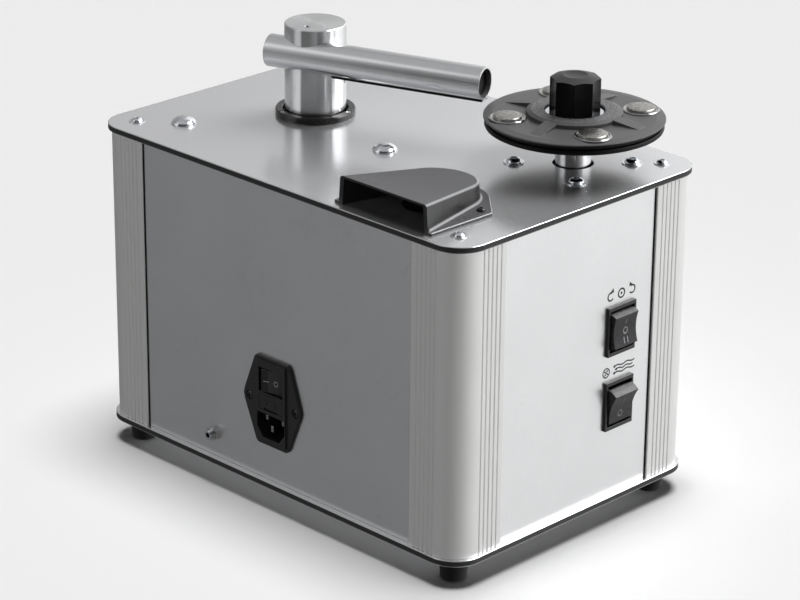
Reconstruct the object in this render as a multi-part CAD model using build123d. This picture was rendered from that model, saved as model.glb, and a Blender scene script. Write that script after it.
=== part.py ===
from build123d import *
import os
import math

# Record cleaning machine, table-top, in millimetres, +Z up.
# The floor under the feet is Z = 0.  -Y is the switch side, -X the mains side.
# Everything is laid out in the case's own coordinates; OX and OY then put the
# origin at the middle of the overall footprint, level with the floor.

os.makedirs("parts", exist_ok=True)

# ---------------------------------------------------------------- dimensions
W, D = 211.0, 312.7            # top and bottom plates
YM = 0.85                      # middle of the plates, front to rear
PLATE_T = 4.0                  # sandwich sheet
PLATE_R = 19.0                 # plate corner radius
Z_BOT = 15.0                   # underside of the bottom plate
Z_TOP = 213.5                  # upper face of the top plate
POST_IN = 2.0                  # posts stand in from the plate edge
POST_R = 17.6                  # outer radius of a corner post
POST_LEG = 38.5                # post leg, measured from its outer faces
POST_WALL = 2.6
LIP_T = 1.45                   # lip that covers the panel's edge
SLOT_T = 2.15                  # slot that holds the panel
GROOVE_0, GROOVE_P, GROOVE_N = 19.4, 3.55, 5
GROOVE_W, GROOVE_D = 1.2, 0.6  # V grooves
PANEL_T = 2.0
PANEL_IN = 1.5                 # panel face behind the post face
CX, CY = 87.5, 137.85          # corner screws and feet
FOOT_H, FOOT_R1, FOOT_R0 = 15.0, 8.75, 8.2

SPX, SPY = 50.0, -99.3         # spindle axis
TUX, TUY = 3.6, 74.5           # arm column axis
MOT = 25.0                     # motor screws, half pitch

HUB_Z0, HUB_Z1, HUB_R = 235.9, 239.4, 53.6
CL_Z0, CL_LIP, CL_R = 242.0, 243.0, 54.3
CL_FLOOR, CL_RING = 244.0, 247.3
SPOKE_A, SPOKE_W = 12.0, 8.5
PAD_A, PAD_C = 57.0, 41.0
KNOB_R, KNOB_A = 15.35, 173.4
KNOB_Z0, KNOB_Z1, KNOB_Z2 = 246.0, 266.7, 268.7
CLAMP_LIFT = 22.0

COL_R, COL_TOP, COL_BOT = 19.2, 272.2, 191.5
TUBE_R, TUBE_RI, TUBE_Z = 10.2, 9.0, 254.1
TUBE_A = -71.15                # where the tube points
TUBE_OFF = 12.0                # tube axis beside the column axis
TUBE_T0, TUBE_T1 = -25.1, 120.9
SLOT_T0, SLOT_T1 = 30.0, 117.0 # suction slot along the tube

VMX, VMY = -56.0, -89.8        # vacuum motor axis
GEAR_M, GEAR_N, PIN_N = 1.0, 36, 12
PNX, PNY = SPX, SPY + GEAR_M * (GEAR_N + PIN_N) / 2.0

SWX, SW1Z, SW2Z = 36.5, 126.5, 78.3
SW_W, SW_H = 25.2, 31.3
RK_W, RK_F, RK_H, RK_TILT = 20.0, 6.6, 9.9, 15.0
INY, INZ = 0.1, 71.6           # mains inlet
DRY, DRZ = 54.5, 34.4          # drain spout

OX, OY = 1.35, 1.374            # case coordinates to footprint middle


# ------------------------------------------------------------------ helpers
def zcyl(x, y, z0, z1, r):
    return Pos(x, y, z0) * Cylinder(r, z1 - z0, align=(Align.CENTER, Align.CENTER, Align.MIN))


def box(x0, x1, y0, y1, z0, z1):
    return Pos(x0, y0, z0) * Box(x1 - x0, y1 - y0, z1 - z0, align=(Align.MIN, Align.MIN, Align.MIN))


def tube(x, y, z0, z1, ro, ri):
    return zcyl(x, y, z0, z1, ro) - zcyl(x, y, z0 - 1, z1 + 1, ri)


def xcyl(x0, x1, y, z, r):
    return Pos(x0, y, z) * Rot(0, 90, 0) * Cylinder(r, x1 - x0, align=(Align.CENTER, Align.CENTER, Align.MIN))


def ycyl(y0, y1, x, z, r):
    return Pos(x, y0, z) * Rot(-90, 0, 0) * Cylinder(r, y1 - y0, align=(Align.CENTER, Align.CENTER, Align.MIN))


def lathe(points, x=0.0, y=0.0):
    """Closed (r, z) outline turned about a vertical axis."""
    wire = Polyline(*[(r, 0, z) for r, z in points], close=True)
    return Pos(x, y, 0) * revolve(make_face(wire), Axis.Z, 360)


def slab(points, z0, z1):
    """Closed (x, y) outline raised from z0 to z1."""
    face = make_face(Polyline(*[(x, y, z0) for x, y in points], close=True))
    return extrude(face, amount=z1 - z0, dir=(0, 0, 1))


def hexprism(x, y, z0, z1, af):
    return Pos(x, y, z0) * extrude(RegularPolygon(af / math.sqrt(3.0), 6), z1 - z0)


def button_screw(head_r, head_h, rim_r, rim_t, shank_r, length, key_af, key_d, seg=7):
    """Screw with a domed head on a flange; underside of the head at z = 0."""
    pts = [(0, -length), (shank_r - 0.3, -length), (shank_r, -length + 0.5), (shank_r, 0), (rim_r, 0), (rim_r, rim_t), (head_r, rim_t)]
    for i in range(1, seg):
        a = math.pi / 2 * i / seg
        pts.append((head_r * math.cos(a) ** 0.8, rim_t + (head_h - rim_t) * math.sin(a)))
    pts.append((0, head_h))
    body = lathe(pts)
    return body - hexprism(0, 0, head_h - key_d, head_h + 1, key_af)


def group(*shapes):
    return Compound([s for shape in shapes for s in shape.solids()])


parts = {}


def put(name, shape):
    parts[name] = shape


# ---------------------------------------------------- top and bottom plates
plate = extrude(RectangleRounded(W, D, PLATE_R), PLATE_T)
try:
    plate = chamfer([e for e in plate.edges() if e.bounding_box().size.Z < 1e-4], 0.3)
except Exception:
    print("plates: edges left sharp")
top = Pos(0, YM, Z_TOP - PLATE_T) * plate
bottom = Pos(0, YM, Z_BOT) * plate
ZC0, ZC1 = Z_BOT + PLATE_T, Z_TOP - PLATE_T
corners = [(sx * CX, YM + sy * CY) for sx in (-1, 1) for sy in (-1, 1)]
motor_holes = [(SPX + sx * MOT, SPY + sy * MOT) for sx in (-1, 1) for sy in (-1, 1)]
dome_at = [(-69.1, 115.8), (-15.1, -5.6)]
flange_at = [(TUX + 22.75 * math.cos(math.radians(a)), TUY + 22.75 * math.sin(math.radians(a))) for a in (162.0, -70.0, 46.0)]
hood_at = [(-52.8, -121.1), (-52.8, -58.5)]
zt0, zt1 = Z_TOP - PLATE_T - 1, Z_TOP + 1
for x, y in corners:
    top -= zcyl(x, y, zt0, zt1, 2.15)
    bottom -= zcyl(x, y, Z_BOT - 1, ZC0 + 1, 2.15)
for x, y in motor_holes:
    top -= zcyl(x, y, zt0, zt1, 2.65)
for x, y in dome_at:
    top -= zcyl(x, y, zt0, zt1, 4.2)
for x, y in flange_at + hood_at:
    top -= zcyl(x, y, zt0, zt1, 1.35)
top -= zcyl(SPX, SPY, zt0, zt1, 12.5)
top -= zcyl(TUX, TUY, zt0, zt1, 20.6)
top -= zcyl(-60.0, VMY, zt0, zt1, 18.0)
put("top_plate", top)
put("bottom_plate", bottom)

# ------------------------------------------------------------- corner posts
# Profile in the corner's own (u, v): both run inwards from the outer faces.
L = POST_LEG
outer = Pos(L / 2, L / 2) * Rectangle(L, L)
outer = fillet(outer.vertices().sort_by(Axis.X)[:2].sort_by(Axis.Y)[:1], POST_R)
inner = Pos(POST_WALL + L / 2, POST_WALL + L / 2) * Rectangle(L, L)
inner = fillet(inner.vertices().sort_by(Axis.X)[:2].sort_by(Axis.Y)[:1], POST_R - POST_WALL)
prof = outer - inner


def r2(u0, u1, v0, v1, flip=False):
    if flip:
        u0, u1, v0, v1 = v0, v1, u0, u1
    return Pos((u0 + u1) / 2, (v0 + v1) / 2) * Rectangle(u1 - u0, v1 - v0)


def v2(g, flip=False):
    pts = [(g - GROOVE_W / 2 - 0.1, -0.1), (g + GROOVE_W / 2 + 0.1, -0.1), (g, GROOVE_D)]
    if flip:
        pts = [(v, u) for u, v in reversed(pts)]
    return make_face(Polyline(*[(u, v, 0) for u, v in pts], close=True))


SLOT_U = L - 8.0
slot_back = LIP_T + SLOT_T
for f in (False, True):
    prof += r2(SLOT_U - 1.4, L, POST_WALL - 0.4, slot_back + 1.5, f)
    prof -= r2(SLOT_U, L + 1, LIP_T, slot_back, f)
    for k in range(GROOVE_N):
        prof -= v2(GROOVE_0 + GROOVE_P * k, f)
HX, HY = W / 2 - POST_IN, D / 2 - POST_IN
BU, BV = HX - CX, HY - CY
web = Pos((BU + 4.5) / 2, (BV + 4.5) / 2) * Rot(0, 0, math.degrees(math.atan2(BV - 4.5, BU - 4.5))) * Rectangle(14.0, 3.0)
prof = prof + web + Pos(BU, BV) * Circle(5.0)
prof = prof - (Pos(L / 2, L / 2) * Rectangle(3 * L, 3 * L) - outer)
prof = prof - Pos(BU, BV) * Circle(2.05)
lip_v = [v for v in prof.vertices() if (abs(v.X - L) < 1e-6 and abs(v.Y) < 1e-6) or (abs(v.Y - L) < 1e-6 and abs(v.X) < 1e-6)]
prof = fillet(lip_v, 0.9)
post = extrude(prof, ZC1 - ZC0)
post = Pos(-HX, YM - HY, ZC0) * post
rear_post = Pos(0, 2 * YM, 0) * mirror(post, Plane.XZ)
put("corner_post_front_left", post)
put("corner_post_front_right", mirror(post, Plane.YZ))
put("corner_post_rear_left", rear_post)
put("corner_post_rear_right", mirror(rear_post, Plane.YZ))

# ------------------------------------------------------------------- panels
px0 = HX - PANEL_IN
py0 = HY - YM - PANEL_IN         # front panel's face
py1 = HY + YM - PANEL_IN         # rear panel's face
ph0, ph1 = ZC0 + 0.1, ZC1 - 0.1
half_x, half_y = HX - SLOT_U - 0.4, HY - SLOT_U - 0.4
left = box(-px0, -px0 + PANEL_T, YM - half_y, YM + half_y, ph0, ph1)
right = box(px0 - PANEL_T, px0, YM - half_y, YM + half_y, ph0, ph1)
front = box(-half_x, half_x, -py0, -py0 + PANEL_T, ph0, ph1)
rear = box(-half_x, half_x, py1 - PANEL_T, py1, ph0, ph1)
IN_W, IN_Z0, IN_Z1 = 27.0, 46.6, 97.6
left -= box(-px0 - 1, -px0 + 3, INY - IN_W / 2 - 0.2, INY + IN_W / 2 + 0.2, IN_Z0 - 0.2, IN_Z1 + 0.2)
for s in (-1, 1):
    left -= xcyl(-px0 - 1, -px0 + 3, INY + s * 20.1, INZ, 1.7)
left -= xcyl(-px0 - 1, -px0 + 3, DRY, DRZ, 3.6)
for z in (SW1Z, SW2Z):
    front -= box(SWX - 11.9, SWX + 11.9, -py0 - 1, -py0 + 3, z - 14.4, z + 14.4)
put("left_panel", left)
put("right_panel", right)
put("front_panel", front)
put("rear_panel", rear)

# --------------------------------------------------------- feet and screws
foot = lathe([(2.15, 6.0), (4.6, 6.0), (4.6, 0), (6.9, 0), (7.7, 0.35), (FOOT_R0, 1.3), (8.45, 7.0), (FOOT_R1, 14.2), (FOOT_R1 - 0.3, FOOT_H), (2.15, FOOT_H)])
put("rubber_feet", group(*[Pos(x, y, 0) * foot for x, y in corners]))
cs = button_screw(3.5, 2.4, 4.9, 0.5, 1.95, 24.0, 3.1, 1.7)
fsc = button_screw(3.1, 2.3, 4.2, 0.5, 1.95, 24.0, 2.5, 1.5)
feet_screws = [Pos(x, y, 6.0) * Rot(180, 0, 0) * fsc for x, y in corners]
put("corner_screws", group(*([Pos(x, y, Z_TOP) * cs for x, y in corners] + feet_screws)))

dome = lathe([(0, -30), (3.6, -30), (3.95, -29.4), (3.95, 0), (7.6, 0), (7.7, 0.5), (7.3, 1.5), (6.3, 2.6), (4.8, 3.5), (2.6, 4.15), (0, 4.35)])
put("tank_bolts", group(*[Pos(x, y, Z_TOP) * dome for x, y in dome_at]))
ms = button_screw(4.7, 3.2, 6.3, 0.7, 2.45, 16.0, 4.2, 2.3)
put("motor_screws", group(*[Pos(x, y, Z_TOP) * ms for x, y in motor_holes]))

# -------------------------------------------------------------- exhaust hood
HX0, HX1, HR = -99.5, -54.5, 22.5     # mouth plane, end centre, end radius
HZ_MOUTH, HZ_END = 231.2, 225.6
HFAR = 2.7                            # the mouth is wider on its far side
HWALL = 1.4
BASE_T = 2.0
zb = Z_TOP


def hood_outline(half_mouth, r, x_mouth, zfun):
    """Mouth edge, two sides and a round end, with heights from zfun(x)."""
    cx, cy = HX1, VMY

    def touch(half):
        dx, dy = x_mouth - cx, half
        ta = math.atan2(dy, dx) - math.acos(r / math.hypot(dx, dy))
        return r * math.cos(ta), r * math.sin(ta)

    near, far = half_mouth, half_mouth + HFAR
    nx, ny = touch(near)
    qx, qy = touch(far)
    p = [(x_mouth, cy - near), (cx + nx, cy - ny), (cx + r, cy), (cx + qx, cy + qy), (x_mouth, cy + far)]
    return [(x, y, zfun(x)) for x, y in p]


def hood_solid(hm0, r0, hm1, r1, z_low, drop, x_mouth):
    slope = (HZ_END - HZ_MOUTH) / (HX1 + HR - HX0)
    low = hood_outline(hm0, r0, x_mouth, lambda x: z_low)
    high = hood_outline(hm1, r1, x_mouth, lambda x: HZ_MOUTH - drop + slope * (x - HX0))
    n = 10

    def ring(pts):
        out = [pts[0]]
        a0 = math.atan2(pts[1][1] - VMY, pts[1][0] - HX1)
        a1 = math.atan2(pts[3][1] - VMY, pts[3][0] - HX1)
        r = math.hypot(pts[1][0] - HX1, pts[1][1] - VMY)
        return pts[0], pts[4], a0, a1, r

    def face(pts, zf):
        s0, s4, a0, a1, r = ring(pts)
        mid = (HX1 + r, VMY, zf(HX1 + r))
        p1 = (pts[1][0], pts[1][1], zf(pts[1][0]))
        p3 = (pts[3][0], pts[3][1], zf(pts[3][0]))
        return make_face([Line(pts[0], p1), Spline(*[(HX1 + r * math.cos(a0 + (a1 - a0) * i / n), VMY + r * math.sin(a0 + (a1 - a0) * i / n), zf(HX1 + r * math.cos(a0 + (a1 - a0) * i / n))) for i in range(n + 1)]), Line(p3, pts[4]), Line(pts[4], pts[0])])

    f0 = face(low, lambda x: z_low)
    f1 = face(high, lambda x: HZ_MOUTH - drop + slope * (x - HX0))
    return loft([f0, f1])


hood_out = hood_solid(34.5, 23.6, 33.2, HR, zb, 0.0, HX0)
try:
    es = [e for e in hood_out.edges() if e.center().Z > 220 and e.center().X > HX0 + 1]
    hood_out = fillet(es, 2.2)
except Exception:
    print("hood: upper edges left sharp")
hood_in = hood_solid(34.5 - HWALL, 23.6 - HWALL, 33.2 - HWALL, HR - HWALL, zb - 2, HWALL, HX0 - 6)
EAR_X, EAR_Y, EAR_R = -50.8, 38.2, 29.0   # the flange's two ears and its round end


def ear_touch(y):
    """Where a line from an ear meets the flange's round end."""
    dx, dy = EAR_X - HX1, y - VMY
    side = 1 if dy < 0 else -1
    t = math.atan2(dy, dx) + side * math.acos(EAR_R / math.hypot(dx, dy))
    return HX1 + EAR_R * math.cos(t), VMY + EAR_R * math.sin(t)


near_ear, far_ear = (EAR_X, VMY - EAR_Y), (EAR_X, VMY + EAR_Y + 1.2)
base2d = make_face([
    Line((HX0, VMY - 37.2), near_ear),
    Line(near_ear, ear_touch(near_ear[1])),
    ThreePointArc(ear_touch(near_ear[1]), (HX1 + EAR_R, VMY), ear_touch(far_ear[1])),
    Line(ear_touch(far_ear[1]), far_ear),
    Line(far_ear, (HX0, VMY + 37.2 + HFAR + 0.6)),
    Line((HX0, VMY + 37.2 + HFAR + 0.6), (HX0, VMY - 37.2)),
])
base2d = fillet([v for v in base2d.vertices() if abs(v.X - EAR_X) < 1e-3], 1.2)
base = Pos(0, 0, zb) * extrude(base2d, BASE_T)
try:
    base = chamfer(base.faces().sort_by(Axis.Z)[-1].edges(), 0.5)
except Exception:
    print("hood: flange edge left sharp")
hood = base + hood_out
try:
    foot_e = [e for e in hood.edges() if abs(e.center().Z - (zb + BASE_T)) < 0.05 and e.bounding_box().max.X < -28.4 and e.bounding_box().max.X > HX0 + 2 and -36.2 < e.center().Y - VMY < 36.2 + HFAR and (e.center().X < -62 or math.hypot(e.center().X - HX1, e.center().Y - VMY) < 27.5)]
    print("hood foot edges", [round(e.length, 1) for e in foot_e])
    hood = fillet(foot_e, 2.2)
except Exception:
    print("hood: foot left sharp")
hood = hood - hood_in
for x, y in hood_at:
    hood -= zcyl(x, y, zb - 1, zb + 6, 1.6)
    hood -= zcyl(x, y, zb + BASE_T, zb + 14, 3.3)
put("exhaust_hood", hood)
hs = button_screw(2.6, 1.9, 2.9, 0.3, 1.25, 5.8, 1.9, 1.1)
put("hood_screws", group(*[Pos(x, y, zb + BASE_T) * hs for x, y in hood_at]))

# --------------------------------------------------------------- mains inlet
FX = -px0                        # left panel's outer face


def yz_slab(points, x0, x1):
    face = make_face(Polyline(*[(x0, y, z) for y, z in points], close=True))
    return extrude(face, amount=x1 - x0, dir=(1, 0, 0))


def shift(points):
    return [(y + INY, z) for y, z in points]


hexf = shift([(25.5, 72.0), (24.7, 75.6), (15.6, 98.9), (13.6, 100.6), (-13.5, 100.8), (-15.4, 99.2), (-23.7, 75.5), (-24.5, 72.0), (-23.7, 68.5), (-13.9, 44.4), (-11.9, 42.8), (12.6, 42.6), (14.6, 44.2), (24.7, 68.4)])
inlet = yz_slab(hexf, FX - 2.2, FX)
try:
    inlet = chamfer(inlet.faces().sort_by(Axis.X)[0].edges(), 0.5)
except Exception:
    print("inlet: flange edge left sharp")
inlet += box(FX - 3.4, FX - 2.0, INY - 12.6, INY + 12.6, 45.6, 98.6)
inlet += box(FX, FX + 33.0, INY - IN_W / 2, INY + IN_W / 2, IN_Z0, IN_Z1)
RKZ, RKY = 85.8, INY
inlet -= box(FX - 4, FX + 14, RKY - 10.5, RKY + 10.5, RKZ - 8.0, RKZ + 8.0)
inlet -= zcyl(FX + 3.0, RKY, RKZ - 8.8, RKZ + 9.4, 1.05)
inlet -= box(FX - 4, FX + 26, INY - 10.3, INY + 10.3, 66.4, 76.4)
sock = shift([(-12.1, 64.2), (12.1, 64.2), (12.1, 54.6), (6.9, 48.2), (-6.9, 48.2), (-12.1, 54.6)])
inlet -= yz_slab(sock, FX - 4, FX + 13.4)
pin_at = [(7.0, 60.4, -0.3), (-7.0, 60.4, -0.3), (0.0, 55.1, -2.6)]   # y, z, tip
for y, z, tip in pin_at:
    inlet -= box(FX + 13, FX + 34, INY + y - 1.05, INY + y + 1.05, z - 2.05, z + 2.05)
for s in (-1, 1):
    inlet -= xcyl(FX - 5, FX + 1, INY + s * 20.1, INZ, 1.7)
    inlet -= xcyl(FX - 5, FX - 1.1, INY + s * 20.1, INZ, 2.9)
put("inlet_housing", inlet)
def pin(tip):
    p = box(tip, 32.2, -1.0, 1.0, -2.0, 2.0)
    try:
        p = chamfer(p.faces().sort_by(Axis.X)[0].edges(), 0.6)
    except Exception:
        print("inlet: pin tips left square")
    return p


put("inlet_pins", group(*[Pos(FX, INY + y, z) * pin(tip) for y, z, tip in pin_at]))
isc = button_screw(2.6, 1.2, 2.65, 0.4, 1.4, 8.0, 1.8, 0.8)
put("inlet_screws", group(*[Pos(FX - 1.1, INY + s * 20.1, INZ) * Rot(0, -90, 0) * isc for s in (-1, 1)]))
# small rocker on a vertical pivot, a fuse carrier that slides out
rk = [(-4.2, 9.5), (-5.9, 8.3), (-4.9, 4.0), (-4.6, 0), (-4.9, -4.0), (-5.9, -8.3), (-4.2, -9.5), (0.6, -9.2), (4.5, -3.6), (4.5, 3.6), (0.6, 9.2)]
inlet_rocker = slab([(FX + 3.0 + x, RKY + y) for x, y in rk], RKZ - 7.5, RKZ + 7.2)
try:
    inlet_rocker = chamfer([e for e in inlet_rocker.faces().sort_by(Axis.Z)[-1].edges() if e.center().X < FX - 1.0], 0.6)
except Exception:
    print("inlet: rocker edge left sharp")
inlet_rocker += zcyl(FX + 3.0, RKY, RKZ - 8.6, RKZ + 9.0, 1.0)
put("inlet_rocker", Pos(FX + 3.0, RKY, 0) * Rot(0, 0, 9.0) * Pos(-FX - 3.0, -RKY, 0) * inlet_rocker)
drawer = box(FX - 3.3, FX + 25.0, INY - 10.0, INY + 10.0, 66.7, 76.1)
drawer -= box(FX + 1.0, FX + 23.5, INY - 8.6, INY - 0.6, 69.2, 80.0)
drawer -= box(FX + 1.0, FX + 23.5, INY + 0.6, INY + 8.6, 69.2, 80.0)
drawer -= box(FX - 4.0, FX - 2.5, INY - 6.0, INY + 6.0, 66.0, 68.2)
put("fuse_drawer", drawer)

# --------------------------------------------------------------- drain spout
spout = xcyl(FX - 6.2, FX + 14.0, DRY, DRZ, 2.9) + xcyl(FX + PANEL_T, FX + 4.2, DRY, DRZ, 5.4)
spout -= xcyl(FX - 7, FX + 15, DRY, DRZ, 1.7)
put("drain_spout", spout)
dnut = Pos(FX - 2.9, DRY, DRZ) * Rot(0, 90, 0) * extrude(RegularPolygon(4.9, 6), 2.9)
dnut += xcyl(FX - 4.2, FX - 2.8, DRY, DRZ, 3.9)
dnut -= xcyl(FX - 5, FX + 1, DRY, DRZ, 2.93)
put("drain_nut", dnut)

# ------------------------------------------------------------------ switches
FY = -py0
PIV = FY + 0.8                   # pivot line, behind the panel's face


def switch_body(z):
    b = box(SWX - SW_W / 2, SWX + SW_W / 2, FY - 2.0, FY, z - SW_H / 2, z + SW_H / 2)
    try:
        b = fillet([e for e in b.edges() if abs(e.center().Z - z) < 1 and abs(e.center().Y - (FY - 2.0)) < 1 or abs(e.length - 2.0) < 1e-6], 0.8)
    except Exception:
        print("switch: bezel left square")
    b += box(SWX - 11.8, SWX + 11.8, FY, FY + 21.0, z - 14.3, z + 14.3)
    b -= box(SWX - 10.7, SWX + 10.7, FY - 3, FY + 16.5, z - 13.35, z + 13.35)
    b -= Pos(SWX - 11.4, PIV, z) * Rot(0, 90, 0) * Cylinder(1.55, 22.8, align=(Align.CENTER, Align.CENTER, Align.MIN))
    for dz in (-8.0, 0.0, 8.0):
        b += box(SWX - 3.2, SWX + 3.2, FY + 20.9, FY + 28.0, z + dz - 0.4, z + dz + 0.4)
    return b


def switch_rocker(z, tilt):
    f, h = RK_F, RK_H
    mid = f - 1.75
    # (y forwards, z): the face is hollow, its ends stand proud
    face = make_face([
        ThreePointArc((0, -f, h), (0, -mid, 0), (0, -f, -h)),
        Polyline((0, -f, -h), (0, -3.2, -11.2), (0, -0.5, -11.6), (0, 3.2, -9.2), (0, 4.6, -3.5), (0, 4.6, 3.5), (0, 3.2, 9.2), (0, -0.5, 11.6), (0, -3.2, 11.2), (0, -f, h)),
    ])
    r = Pos(-RK_W / 2, 0, 0) * extrude(face, amount=RK_W, dir=(1, 0, 0))
    try:
        r = fillet([e for e in r.edges() if abs(e.length - RK_W) < 1e-4 and e.center().Y < -5.0], 0.5)
    except Exception:
        print("switch: rocker edges left sharp")
    r += Pos(-11.1, 0, 0) * Rot(0, 90, 0) * Cylinder(1.5, 22.2, align=(Align.CENTER, Align.CENTER, Align.MIN))
    return Pos(SWX, PIV, z) * Rot(tilt, 0, 0) * r


put("motor_switch_body", switch_body(SW1Z))
put("vacuum_switch_body", switch_body(SW2Z))
put("motor_rocker", switch_rocker(SW1Z, 0.0))
put("vacuum_rocker", switch_rocker(SW2Z, RK_TILT))

# --------------------------------------------------- spindle, hub and clamp
put("spindle", lathe([(0, 184.5), (3.2, 184.5), (3.55, 185.0), (3.55, 243.0), (2.95, 243.6), (2.95, 259.2), (2.3, 260.0), (0, 260.0)], SPX, SPY))
put("spindle_sleeve", lathe([(3.56, 206.0), (10.4, 206.0), (10.8, 206.4), (10.8, HUB_Z0), (3.56, HUB_Z0)], SPX, SPY))
put("hub_disc", lathe([(3.56, HUB_Z0 + 0.01), (14.0, HUB_Z0 + 0.01), (48.0, HUB_Z0 + 0.01), (51.8, HUB_Z0 + 0.2), (53.2, HUB_Z0 + 0.9), (HUB_R, HUB_Z0 + 1.9), (53.3, HUB_Z1 - 0.6), (52.6, HUB_Z1), (44.0, HUB_Z1), (44.0, HUB_Z1 - 0.6), (3.56, HUB_Z1 - 0.6)], SPX, SPY))
put("hub_seal", lathe([(44.3, HUB_Z1 + 0.01), (51.2, HUB_Z1 + 0.01), (51.6, HUB_Z1 + 0.5), (51.2, 241.3), (50.4, 241.75), (44.3, 241.75)], SPX, SPY))

disc = lathe([(4.0, CL_Z0), (52.6, CL_Z0), (CL_R, CL_Z0 + 0.35), (CL_R, CL_LIP), (53.7, CL_LIP + 0.35), (50.6, CL_FLOOR - 0.25), (49.0, CL_FLOOR), (29.0, CL_FLOOR), (28.7, 246.3), (26.3, CL_RING), (18.6, CL_RING), (18.1, 247.0), (18.1, 244.7), (4.0, 244.7)], SPX, SPY)
for k in range(4):
    w = SPOKE_W / 2
    wedge = make_face(Polyline((24, 0, CL_FLOOR - 1), (24, 0, 246.7), (28.6, 0, 246.7), (45.6, 0, CL_FLOOR + 0.1), (46.2, 0, CL_FLOOR - 1), close=True))
    wedge = Pos(0, w, 0) * extrude(wedge, amount=2 * w, dir=(0, -1, 0))
    wedge = wedge - zcyl(0, 0, 240, 250, 24.5)
    disc += Pos(SPX, SPY, 0) * Rot(0, 0, SPOKE_A + 90 * k) * wedge
put("clamp_disc", disc)
pad = lathe([(0, CL_FLOOR + 0.01), (11.2, CL_FLOOR + 0.01), (11.25, CL_FLOOR + 0.5), (10.7, CL_FLOOR + 0.95), (9.9, CL_FLOOR + 0.95), (9.6, CL_FLOOR + 0.6), (8.9, CL_FLOOR + 0.6), (8.75, CL_FLOOR + 1.9), (8.3, CL_FLOOR + 2.3), (5.5, CL_FLOOR + 2.6), (0, CL_FLOOR + 2.75)])
put("clamp_pads", group(*[Pos(SPX, SPY, 0) * Rot(0, 0, PAD_A + 90 * k) * Pos(PAD_C, 0, 0) * pad for k in range(4)]))
put("knob_washer", lathe([(4.0, 244.72), (17.4, 244.72), (17.6, 245.0), (17.4, 245.9), (4.0, 245.9)], SPX, SPY))

ka = [math.radians(KNOB_A + 45 * k) for k in range(8)]
kv = [(KNOB_R * math.cos(a), KNOB_R * math.sin(a)) for a in ka]
edges = []
for i in range(8):
    p, q = kv[i], kv[(i + 1) % 8]
    m = ((p[0] + q[0]) / 2 * 0.965, (p[1] + q[1]) / 2 * 0.965)
    edges.append(ThreePointArc((p[0], p[1], 0), (m[0], m[1], 0), (q[0], q[1], 0)))
ksec = make_face(edges)
kbody = extrude(ksec, amount=KNOB_Z2 + 1 - KNOB_Z0, dir=(0, 0, 1))
try:
    kbody = fillet(kbody.edges().filter_by(Axis.Z), 0.9)
except Exception:
    print("knob: corners left sharp")
kbody = Pos(0, 0, KNOB_Z0) * kbody
kcap = lathe([(0, KNOB_Z0), (14.9, KNOB_Z0), (15.6, KNOB_Z0 + 0.8), (15.6, KNOB_Z1 - 0.55), (15.2, KNOB_Z1 - 0.1), (14.6, KNOB_Z1 + 0.15), (11.0, KNOB_Z1 + 1.15), (8.1, KNOB_Z2 - 0.05), (7.2, KNOB_Z2), (6.4, KNOB_Z2 - 0.3), (4.0, KNOB_Z2 - 0.75), (0, KNOB_Z2 - 0.95)])
knob = Pos(SPX, SPY, 0) * (kbody & kcap)
knob -= zcyl(SPX, SPY, KNOB_Z0 - 1, 262.5, 3.35)
put("clamp_knob", knob)


# ------------------------------------------------------- gears and gearmotor
def spur(n, m, add, ded, thin, r_bore, z0, z1, phase):
    """Involute spur gear with each tooth thinned on both flanks."""
    pa = math.radians(20.0)
    rp = m * n / 2.0
    rb = rp * math.cos(pa)
    ra, rf = rp + add * m, rp - ded * m
    inv = math.tan(pa) - pa
    half = math.pi / (2 * n) - thin / rp

    def flank(r):
        if r <= rb:
            return half + inv
        a = math.acos(rb / r)
        return half + inv - (math.tan(a) - a)

    pts = []
    radii = [rf, max(rf + 0.01, rb)] + [max(rf, rb) + (ra - max(rf, rb)) * t for t in (0.2, 0.4, 0.6, 0.8, 1.0)]
    for i in range(n):
        c = 2 * math.pi * i / n + phase
        for r in radii:
            pts.append((r * math.cos(c - flank(r)), r * math.sin(c - flank(r))))
        for r in reversed(radii):
            pts.append((r * math.cos(c + flank(r)), r * math.sin(c + flank(r))))
    clean = [pts[0]]
    for p in pts[1:]:
        if math.hypot(p[0] - clean[-1][0], p[1] - clean[-1][1]) > 0.02:
            clean.append(p)
    g = slab(clean, z0, z1)
    return g - zcyl(0, 0, z0 - 1, z1 + 1, r_bore) if r_bore else g


GZ0, GZ1 = 192.5, 200.5
drive = Pos(SPX, SPY, 0) * spur(GEAR_N, GEAR_M, 0.75, 1.25, 0.10, 3.56, GZ0, GZ1, math.radians(90.0))
drive -= tube(SPX, SPY, GZ1 - 2, GZ1 + 1, 14.0, 7.0)
put("drive_gear", drive)
pinion = Pos(PNX, PNY, 0) * (spur(PIN_N, GEAR_M, 0.9, 1.15, 0.10, 0, GZ0 - 0.8, GZ1 + 0.8, math.radians(-90.0 + 180.0 / PIN_N)) + zcyl(0, 0, 146.0, GZ1 + 3, 2.0) + zcyl(0, 0, 150.0, 176.0, 11.0))
put("motor_pinion", pinion)
gbox = box(SPX - 32, SPX + 32, SPY - 32, SPY + 32, 183.5, ZC1 - 0.05)
gbox = fillet(gbox.edges().filter_by(Axis.Z), 6.0)
gbox -= zcyl(SPX, SPY, 190.0, ZC1 + 1, 20.5)
gbox -= zcyl(PNX, PNY, 190.0, ZC1 + 1, 8.4)
gbox -= zcyl(SPX, SPY, 180, 192, 3.6)
gbox -= zcyl(PNX, PNY, 180, 192, 2.05)
for x, y in motor_holes:
    gbox -= zcyl(x, y, 195.5, ZC1 + 1, 2.5)
put("gearbox_case", gbox)
can = lathe([(0, 141.0), (18.8, 141.0), (20.0, 142.2), (20.0, 183.45), (5.0, 183.45), (5.0, 181.5), (17.6, 181.5), (17.6, 143.0), (2.05, 143.0), (2.05, 145.5), (0, 145.5)], PNX, PNY)
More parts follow.
